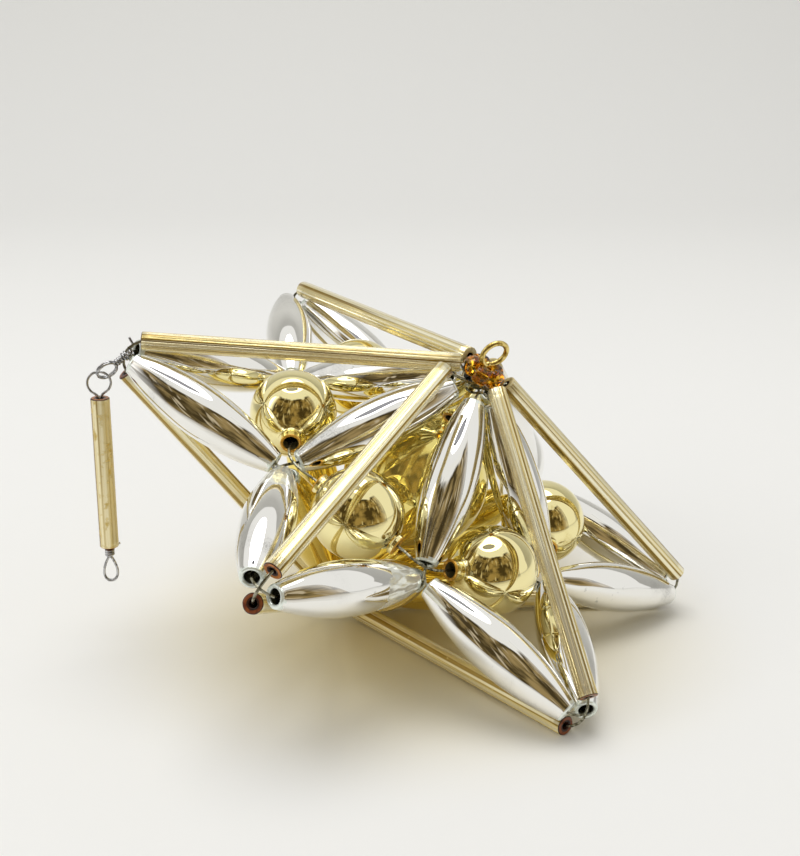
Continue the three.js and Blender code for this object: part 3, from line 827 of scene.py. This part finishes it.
# %% [markdown]
# ## Seed beads
# Amber seeds sit in a ring round the stem of the brass eye. Each is a small ring of clear coloured
# glass. A torus would look like a tyre, and real seeds are squarer, so the outline's sine and cosine are
# raised to a power below one.

# %% Seed beads
SEEDS = range(1, 6)
SEED_RADIUS = 1.5
SEED_LENGTH = 2.4
SEED_HOLE_RADIUS = 0.3
SEED_SQUARENESS = 0.7
SEED_SIDES = 40
SEED_ROWS = 36
SEED_WOBBLE = 0.01
SEED_SHIFT = 2.1


def squarer(wave):
    """A sine or cosine raised to a power below one with its sign kept, which fills out its corners."""
    return np.sign(wave) * np.abs(wave) ** SEED_SQUARENESS


def add_seed(name, shift):
    """A seed bead: a squared oval turned about the hole."""
    place = bead_place(name, FLAT)
    angle = np.linspace(0, 2 * np.pi, SEED_ROWS, endpoint=False)
    half = (SEED_RADIUS - SEED_HOLE_RADIUS) / 2
    radius = SEED_HOLE_RADIUS + half + half * squarer(np.cos(angle))
    outline = np.stack([radius, SEED_LENGTH / 2 * squarer(np.sin(angle))], axis=1)
    add_turned(name, outline, SEED_SIDES, place, [amber], "star", "amber_glass", None, SEED_WOBBLE, shift)


for seed in SEEDS:
    add_seed(f"seed_{seed}", SEED_SHIFT * seed)
print("seeds:", len(SEEDS))

# %% [markdown]
# ## The brass eye
# The eye is one length of brass wire, bent round until its end comes back to the stem. A closed ring on
# a rod would miss that, so one path goes up the stem and round, and leans forward as it comes back.

# %% Brass eye
EYE_WIRE_RADIUS = 0.44
EYE_WIRE_SIDES = 20
EYE_RING_RADIUS = 2.2
EYE_START = -0.5 * np.pi
EYE_END = 1.42 * np.pi
EYE_LEAN = 0.55
EYE_STEPS = 60
STEM_STEPS = 12
PATH_STEPS = 3

eye_points = node_points("brass_eye")
eye_heights = (eye_points - STAR_CENTRE) @ STAR_AXIS
eye_top = STAR_CENTRE + STAR_AXIS * eye_heights.max()
stem_foot = STAR_CENTRE + STAR_AXIS * eye_heights.min()
eye_centre = eye_top - STAR_AXIS * (EYE_RING_RADIUS + EYE_WIRE_RADIUS)
eye_normal = spread(eye_points, FLAT)
eye_across = np.cross(STAR_AXIS, eye_normal)


def circle_points(angle, first, second):
    """Points of a unit circle, at angles that go from the first direction towards the second."""
    return np.cos(angle)[:, None] * first + np.sin(angle)[:, None] * second


def eye_path():
    """Up the stem, then round a circle from its foot, ending beside the stem a little in front of it."""
    angle = np.linspace(EYE_START, EYE_END, EYE_STEPS)
    lean = np.linspace(0, EYE_LEAN, EYE_STEPS)[:, None] * eye_normal
    ring = eye_centre + EYE_RING_RADIUS * circle_points(angle, eye_across, STAR_AXIS)
    stem = np.linspace(stem_foot, ring[0] - STAR_AXIS, STEM_STEPS)
    return flowing(np.concatenate([stem, (ring + lean)[1:]]), PATH_STEPS)


add_wires("brass_eye_wire", [eye_path()], EYE_WIRE_RADIUS, EYE_WIRE_SIDES, brass, "star", "brass",
          "brass_eye")
print("eye at", eye_centre.round(1))

# %% [markdown]
# ## The hanger
# At the left tip a wire is wound on itself and opened into a double loop, in which the drop's ring
# hangs. The loop has to stay where the ring swings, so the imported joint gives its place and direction,
# and the windings are helices worked out from there.

# %% Hanger wire
WIRE_RADIUS = 0.2
WIRE_SIDES = 12
RIGHT, BACK, UP = np.eye(3)
HANGER_DROP = np.radians(36)
LOOP_RADIUS = 1.6
LOOP_TURN = np.radians(45)
LOOP_SPREAD = 0.28
LOOP_STEPS = 80
NECK_LENGTH = 1.8
NECK_STEPS = 8
WINDING_RADIUS = 0.42
WINDING_TURNS = 4
HOOK_REACH = 1.6
WRAP_RADIUS = 0.62
WRAP_TURNS = 3
WRAP_START = 1.0
LOOSE_END = ((-0.2, 0.9), (0.3, 2.2))
LOOSE_STEPS = 8
TURN_STEPS = 24

swing = next(joint for joint in frame["joints"] if joint["name"] == "pendant_swing")
HANG_POINT = np.array(swing["pos_m"]) / MM
SIDEWAYS = np.array(swing["axis"])
OUTWARD = np.cross(SIDEWAYS, UP)
NECK_AXIS = OUTWARD * np.cos(HANGER_DROP) - UP * np.sin(HANGER_DROP)
NECK_UP = np.cross(NECK_AXIS, SIDEWAYS)
LOOP_ACROSS = SIDEWAYS * np.cos(LOOP_TURN) + NECK_UP * np.sin(LOOP_TURN)
LOOP_NORMAL = np.cross(NECK_AXIS, LOOP_ACROSS)


def helix(centre, axis, first, second, radius, turns, length, start=0.0):
    """A circle about the axis that moves along it as it turns."""
    t = np.linspace(0, 1, TURN_STEPS * turns + 1)
    angle = start + 2 * np.pi * turns * t
    return centre + radius * circle_points(angle, first, second) + (t * length)[:, None] * axis


def hanger_paths():
    """A neck with tight turns round it, a loop that goes round twice, and a cut end that sticks up.
    The cut end's bends are given outward and up from where the wrapping starts."""
    loop_centre = HANG_POINT - NECK_AXIS * LOOP_RADIUS
    neck_end = loop_centre - NECK_AXIS * LOOP_RADIUS
    neck_start = neck_end - NECK_AXIS * NECK_LENGTH
    hook_centre = neck_start - NECK_AXIS * HOOK_REACH
    frame_of_neck = (NECK_AXIS, LOOP_ACROSS, LOOP_NORMAL)
    winding = helix(neck_start, *frame_of_neck, WINDING_RADIUS, WINDING_TURNS, NECK_LENGTH)
    wrap = helix(hook_centre, *frame_of_neck, WRAP_RADIUS, WRAP_TURNS, HOOK_REACH, WRAP_START)
    angle = np.linspace(-np.pi, 3 * np.pi, LOOP_STEPS)
    sideways = np.linspace(-LOOP_SPREAD, LOOP_SPREAD, LOOP_STEPS)[:, None] * LOOP_NORMAL
    loop = loop_centre + LOOP_RADIUS * circle_points(angle, NECK_AXIS, LOOP_ACROSS)
    neck = np.linspace(neck_start, neck_end, NECK_STEPS)[:-1]
    bends = [hook_centre + UP * up + OUTWARD * outward for outward, up in LOOSE_END]
    loose = flowing([wrap[0], *bends], LOOSE_STEPS)
    return [winding, np.concatenate([neck, loop + sideways]), wrap, loose]


add_wires("hanger_wire", hanger_paths(), WIRE_RADIUS, WIRE_SIDES, steel, "star", "steel_wire", "hanger")
print("hang point", HANG_POINT.round(1))

# %% [markdown]
# ## The drop's wire
# A ring hangs in the loop, and its shank goes straight down through the drop's glass tube to a small
# knot and a double eye. Its paths are given outward, sideways and up from the hang point, because the
# drop turns there.

# %% Drop wire
RING_RADIUS = 1.8
RING_CENTRE = -1.05
RING_START = -62
RING_END = 242
RING_SPREAD = 0.25
RING_STEPS = 60
TUBE_TOP = -3.475
CROSS_SIDE = 0.2
CROSS_RISE = 0.2
END_SIDE = 0.15
END_DEPTH = 1.2
SHANK_DEPTH = 1.0
SHANK_STEPS = 20
DROP_FOOT = -28.5
KNOT_GAP = 0.35
KNOT_HEIGHT = 1.1
KNOT_RADIUS = 0.6
KNOT_TURNS = 3
KNOT_TAIL = np.array([[0.1, -0.6, 0.1], [-0.7, -0.9, 0.2], [-1.7, -1.0, 0.45]])
DROP_EYE_HEIGHT = 4.5
DROP_EYE_WIDTH = 2.8
DROP_EYE_SPREAD = 0.25
DROP_EYE_STEPS = 90


def in_drop(points):
    """Points given outward, sideways and up from the hang point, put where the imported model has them."""
    return HANG_POINT + np.asarray(points, dtype=float) @ np.stack([OUTWARD, SIDEWAYS, UP])


def drop_ring():
    """The ring, a circle that moves aside as it turns, with its two ends crossed in the tube's mouth."""
    angle = np.radians(np.linspace(RING_START, RING_END, RING_STEPS))
    ring = np.stack([
        RING_RADIUS * np.cos(angle),
        np.linspace(RING_SPREAD, -RING_SPREAD, RING_STEPS),
        RING_CENTRE + RING_RADIUS * np.sin(angle),
    ], axis=1)
    mouth_in = np.array([
        [-END_SIDE, RING_SPREAD, TUBE_TOP - END_DEPTH],
        [CROSS_SIDE, RING_SPREAD, TUBE_TOP + CROSS_RISE],
    ])
    mouth_out = mouth_in[::-1] * np.array([-1, -1, 1])
    return flowing(np.concatenate([mouth_in, ring, mouth_out]), PATH_STEPS)


def drop_paths():
    """The ring, the shank, the knot below the tube with its tail, and an eye that goes round twice."""
    knot_top = DROP_FOOT - KNOT_GAP
    knot_foot = knot_top - KNOT_HEIGHT
    still = np.zeros(SHANK_STEPS)
    shank = np.stack([still, still, np.linspace(TUBE_TOP - SHANK_DEPTH, knot_foot, SHANK_STEPS)], axis=1)
    knot = helix(UP * knot_foot, UP, RIGHT, BACK, KNOT_RADIUS, KNOT_TURNS, KNOT_HEIGHT)
    tail = KNOT_TAIL + UP * knot_top
    turn = np.linspace(0, 4 * np.pi, DROP_EYE_STEPS)
    eye = np.stack([
        DROP_EYE_WIDTH / 2 * np.sin(turn) * np.abs(np.sin(turn / 2)),
        np.linspace(-DROP_EYE_SPREAD, DROP_EYE_SPREAD, DROP_EYE_STEPS),
        knot_foot - DROP_EYE_HEIGHT / 2 + DROP_EYE_HEIGHT / 2 * np.cos(turn),
    ], axis=1)
    knotted = flowing(np.concatenate([knot, tail]), PATH_STEPS)
    return [in_drop(path) for path in (drop_ring(), shank, knotted, eye)]


add_wires("drop_wire", drop_paths(), WIRE_RADIUS, WIRE_SIDES, steel, "pendant", "steel_wire",
          "pendant_wire")
print("drop wire: ring, shank, knot and eye")

# %% [markdown]
# ## The threading wires
# Thin wire runs through every bead, and two bindings hold it together. They could be made anew as the
# hanger was, but only short bends of them show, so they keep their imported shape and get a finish.

# %% Threading wires
THREADS = ["outline_wire", "ball_wire", "tube_wire", "petal_wire", "seed_wire"]
BINDINGS = ["top_binding", "bottom_binding"]

for name in THREADS + BINDINGS:
    thread = frame["nodes"][name]
    thread.data.materials.clear()
    thread.data.materials.append(thread_steel)
print("threading wires:", len(THREADS), "and bindings:", len(BINDINGS))

# %% [markdown]
# ## Table and wall
# The star lies on a white table with a pale wall behind. A table and a wall that met in an edge would
# show a line, so both are one sheet with a wide bend. The paper is painted greyer towards the back and up
# the wall, as painted shade where less light reaches. The gilt glass throws gold light on the table below
# it, which would take very many samples to render, so a soft gold patch in the paper's colour stands in
# for it.

# %% Table and wall
TABLE_HALF = 4.0
WALL_BEND = 0.35
WALL_START = 0.45
WALL_HEIGHT = 1.0
BEND_STEPS = 24
TABLE_COLOUR = (0.86, 0.855, 0.835)
BACK_SHADE_COLOUR = (0.802, 0.798, 0.778)
WALL_SHADE_COLOUR = (0.767, 0.762, 0.737)
BACK_SHADE_LIMITS = (0.15, 0.5)
WALL_SHADE_LIMITS = (0.005, 0.1)
PAPER_ROUGHNESS = 0.9
PAPER_GLOSS = 0.1
FIBRE_SCALE = 900.0
FIBRE_DETAIL = 2.0
FIBRE_STRENGTH = 0.05
FIBRE_DEPTH = 0.05 * MM
GLOW_COLOUR = (0.74, 0.6, 0.2)
GLOW_CENTRE = (0.004, 0.0, 0.0)
GLOW_NEAR = 0.005
GLOW_FAR = 0.06
GLOW_STRENGTH = 0.62


def plain_mesh(name, points, faces, material):
    """A stage mesh with one material."""
    mesh = bpy.data.meshes.new(name)
    mesh.from_pydata(points.tolist(), [], faces)
    mesh.polygons.foreach_set("use_smooth", np.ones(len(mesh.polygons), dtype=bool))
    mesh.materials.append(material)
    made = bpy.data.objects.new(name, mesh)
    bpy.context.scene.collection.objects.link(made)
    return made


def strip(profile, width):
    """A profile of two coordinates, drawn out sideways from minus to plus the width."""
    left = np.stack([np.full(len(profile), -width), profile[:, 0], profile[:, 1]], axis=1)
    right = left * np.array([-1, 1, 1])
    row = np.arange(len(profile) - 1)
    faces = np.stack([row, row + len(profile), row + len(profile) + 1, row + 1], axis=1)
    return np.concatenate([left, right]), faces.tolist()


def make_paper():
    """White paper with painted shade towards the back and up the wall, fine fibres and the painted gold
    light.
    """
    paper = bpy.data.materials.new("white paper")
    paper.use_nodes = True
    tree = paper.node_tree
    shader = tree.nodes["Principled BSDF"].inputs
    place = tree.nodes.new("ShaderNodeTexCoord").outputs["Object"]
    apart = add_node(tree, "ShaderNodeSeparateXYZ", Vector=place).outputs
    # Painted shade: the paper greys towards the back and up the wall, where less light falls.
    back_shade = between(tree, apart["Y"], *BACK_SHADE_LIMITS)
    height = between(tree, apart["Z"], *WALL_SHADE_LIMITS)
    shaded_tone = blend_colour(tree, height, blend_colour(tree, back_shade, TABLE_COLOUR, BACK_SHADE_COLOUR), WALL_SHADE_COLOUR)
    distance = combine(tree, "ShaderNodeVectorMath", "DISTANCE", place, GLOW_CENTRE).outputs["Value"]
    glow = add_node(tree, "ShaderNodeMapRange", Value=distance, From_Min=GLOW_NEAR, From_Max=GLOW_FAR,
                    To_Min=GLOW_STRENGTH, To_Max=0.0)
    glow.interpolation_type = "SMOOTHSTEP"
    tree.links.new(blend_colour(tree, glow.outputs["Result"], shaded_tone, GLOW_COLOUR), shader["Base Color"])
    fibre = soft_noise(tree, place, FIBRE_SCALE, FIBRE_DETAIL)
    set_bump(tree, shader, fibre, FIBRE_STRENGTH, FIBRE_DEPTH)
    shader["Roughness"].default_value = PAPER_ROUGHNESS
    shader["Specular IOR Level"].default_value = PAPER_GLOSS
    return paper


def make_sheet():
    """The table runs back, bends up through a quarter circle and becomes the wall."""
    bend = np.linspace(0, np.pi / 2, BEND_STEPS)
    curve = np.stack([WALL_START + WALL_BEND * np.sin(bend), WALL_BEND * (1 - np.cos(bend))], axis=1)
    front = np.array([[-TABLE_HALF, 0.0]])
    top = np.array([[WALL_START + WALL_BEND, WALL_HEIGHT]])
    points, faces = strip(np.concatenate([front, curve, top]), TABLE_HALF)
    plain_mesh("table_and_wall", points, faces, make_paper())


make_sheet()
print("sheet:", 2 * TABLE_HALF, "m wide")

# %% [markdown]
# ## What the mirrors see
# Mirrors need something dark to look like mirrors. A whole room could be built, but a curved card on the
# camera's side stands in for it: brown and patchy below, pale above, and faded out towards the star. Two
# oval panels overhead, a grey one and its dark edge, give each bead a small lens near its top. All are
# seen in reflections alone and throw no shadow.

# %% Card and panels
CARD_STEPS = 48
CARD_ANGLES = (-160, -20)
CARD_ROWS = ((0.08, 0.001), (0.3, 0.001), (0.3, 0.56))
CARD_FADE = (0.06, 0.17)
CARD_DARK = (0.06, 0.042, 0.016)
CARD_BROWN = (0.32, 0.23, 0.095)
CARD_LIT = (0.5, 0.42, 0.28)
CARD_PALE = (0.85, 0.84, 0.8)
PATCH_SCALE = 11.0
PATCH_DETAIL = 3.0
PATCH_LIMITS = (0.42, 0.62)
BAR_STRETCH = (1, 1, 0.25)
BAR_SCALE = 30.0
BAR_DETAIL = 1.0
BAR_LIMITS = (0.6, 0.68)
RAGGED_EDGE = (-0.09, 0.09)
PALE_LIMITS = (0.38, 0.44)
PANEL_LIMITS = np.array([-0.13, -0.08, 0.05, 0.0])


def start_glow(name, colour=None):
    """An empty material with a light of strength 1 in the colour, and the input of its output node."""
    material = bpy.data.materials.new(name)
    material.use_nodes = True
    tree = material.node_tree
    tree.nodes.clear()
    glow = add_node(tree, "ShaderNodeEmission", Strength=1.0)
    if colour is not None:
        glow.inputs["Color"].default_value = (*colour, 1)
    surface = tree.nodes.new("ShaderNodeOutputMaterial").inputs["Surface"]
    return material, tree, glow, surface


def add_mirrored(name, points, faces, material):
    """A stage mesh that is seen in reflections alone. It throws no shadow and lights nothing."""
    made = plain_mesh(name, points, faces, material)
    made.visible_camera = False
    made.visible_diffuse = False
    made.visible_shadow = False
    made.visible_transmission = False


def card_paint():
    """Brown patches with some lit upright bars, pale above a ragged edge, and clear near the star."""
    card, tree, glow, surface = start_glow("dark room card")
    place = tree.nodes.new("ShaderNodeTexCoord").outputs["Object"]
    apart = add_node(tree, "ShaderNodeSeparateXYZ", Vector=place).outputs
    patches = soft_noise(tree, place, PATCH_SCALE, PATCH_DETAIL)
    bars = soft_noise(tree, stretched(tree, place, BAR_STRETCH), BAR_SCALE, BAR_DETAIL)
    brown = blend_colour(tree, between(tree, patches, *PATCH_LIMITS), CARD_DARK, CARD_BROWN)
    lit = blend_colour(tree, between(tree, bars, *BAR_LIMITS), brown, CARD_LIT)
    ragged = calculate(tree, "ADD", apart["Z"], blend_value(tree, patches, *RAGGED_EDGE))
    room = blend_colour(tree, between(tree, ragged, *PALE_LIMITS), lit, CARD_PALE)
    tree.links.new(room, glow.inputs["Color"])
    nearness = calculate(tree, "MULTIPLY", apart["Y"], -1.0)
    fade = add_node(tree, "ShaderNodeMixShader", Fac=between(tree, nearness, *CARD_FADE))
    clear = tree.nodes.new("ShaderNodeBsdfTransparent")
    tree.links.new(clear.outputs["BSDF"], fade.inputs[1])
    tree.links.new(glow.outputs["Emission"], fade.inputs[2])
    tree.links.new(fade.outputs["Shader"], surface)
    return card


def make_card():
    """Arcs of a circle at given radii and heights: a strip of floor and the wall that stands on it."""
    angle = np.radians(np.linspace(*CARD_ANGLES, CARD_STEPS))
    arc = np.stack([np.cos(angle), np.sin(angle)], axis=1)
    rows = [
        np.concatenate([arc * radius, np.full((CARD_STEPS, 1), height)], axis=1)
        for radius, height in CARD_ROWS
    ]
    row = np.arange(CARD_STEPS - 1)
    band = np.stack([row, row + 1, row + CARD_STEPS + 1, row + CARD_STEPS], axis=1)
    faces = np.concatenate([band, band + CARD_STEPS])
    add_mirrored("dark_room_card", np.concatenate(rows), faces.tolist(), card_paint())


def make_panel(name, colour, height, margin):
    """An oval overhead, as wide as the panel's limits with a margin all round."""
    paint, tree, glow, surface = start_glow(name, colour)
    tree.links.new(glow.outputs["Emission"], surface)
    left, front, right, back = PANEL_LIMITS + np.array([-margin, -margin, margin, margin])
    angle = np.linspace(0, 2 * np.pi, CARD_STEPS, endpoint=False)
    along = (left + right) / 2 + (right - left) / 2 * np.cos(angle)
    back_and_forth = (front + back) / 2 + (back - front) / 2 * np.sin(angle)
    points = np.stack([along, back_and_forth, np.full(CARD_STEPS, height)], axis=1)
    add_mirrored(name, points, [list(range(CARD_STEPS))], paint)


make_card()
make_panel("grey_panel", (0.36, 0.36, 0.39), height=0.43, margin=0.0)
make_panel("panel_edge", (0.1, 0.1, 0.11), height=0.435, margin=0.012)
print("mirrored: a card and 2 panels")

# %% [markdown]
# ## Light
# A large soft lamp above and a smaller one at the side light the star. They are round, because a mirror
# shows their shape. The rest of the light comes from a pale world, which the camera, mirrors and clear
# glass see brighter than it shines.

# %% Lamps and world
WORLD_COLOUR = (1, 0.995, 0.975, 1)
WORLD_LIGHT = 0.55
WORLD_SEEN = 0.85


def add_lamp(name, size, power, place, target):
    """A soft round lamp that points at the target."""
    data = bpy.data.lights.new(name, "AREA")
    data.shape = "DISK"
    data.size = size
    data.energy = power
    lamp = bpy.data.objects.new(name, data)
    lamp.location = place
    direction = np.asarray(target, dtype=float) - np.asarray(place, dtype=float)
    lamp.rotation_euler = (
        np.arctan2(np.hypot(direction[0], direction[1]), -direction[2]),
        0,
        np.arctan2(direction[1], direction[0]) - np.pi / 2,
    )
    bpy.context.scene.collection.objects.link(lamp)


def make_world():
    """A pale world with one strength for light and another for what camera, mirrors and glass see."""
    world = bpy.data.worlds.new("room")
    world.use_nodes = True
    bpy.context.scene.world = world
    tree = world.node_tree
    ray = tree.nodes.new("ShaderNodeLightPath").outputs
    seen = calculate(tree, "MAXIMUM", ray["Is Camera Ray"], ray["Is Glossy Ray"])
    seen_through = calculate(tree, "MAXIMUM", seen, ray["Is Transmission Ray"])
    backdrop = tree.nodes["Background"].inputs
    backdrop["Color"].default_value = WORLD_COLOUR
    tree.links.new(blend_value(tree, seen_through, WORLD_LIGHT, WORLD_SEEN), backdrop["Strength"])


add_lamp("top_lamp", size=0.8, power=4.0, place=(-0.05, 0.1, 0.9), target=(0, 0, 0))
add_lamp("side_lamp", size=0.56, power=1.4, place=(-0.7, -0.4, 0.6), target=(0, 0, 0.03))
make_world()
print("light: 2 lamps and the world")

# %% Update the scene
bpy.context.view_layer.update()
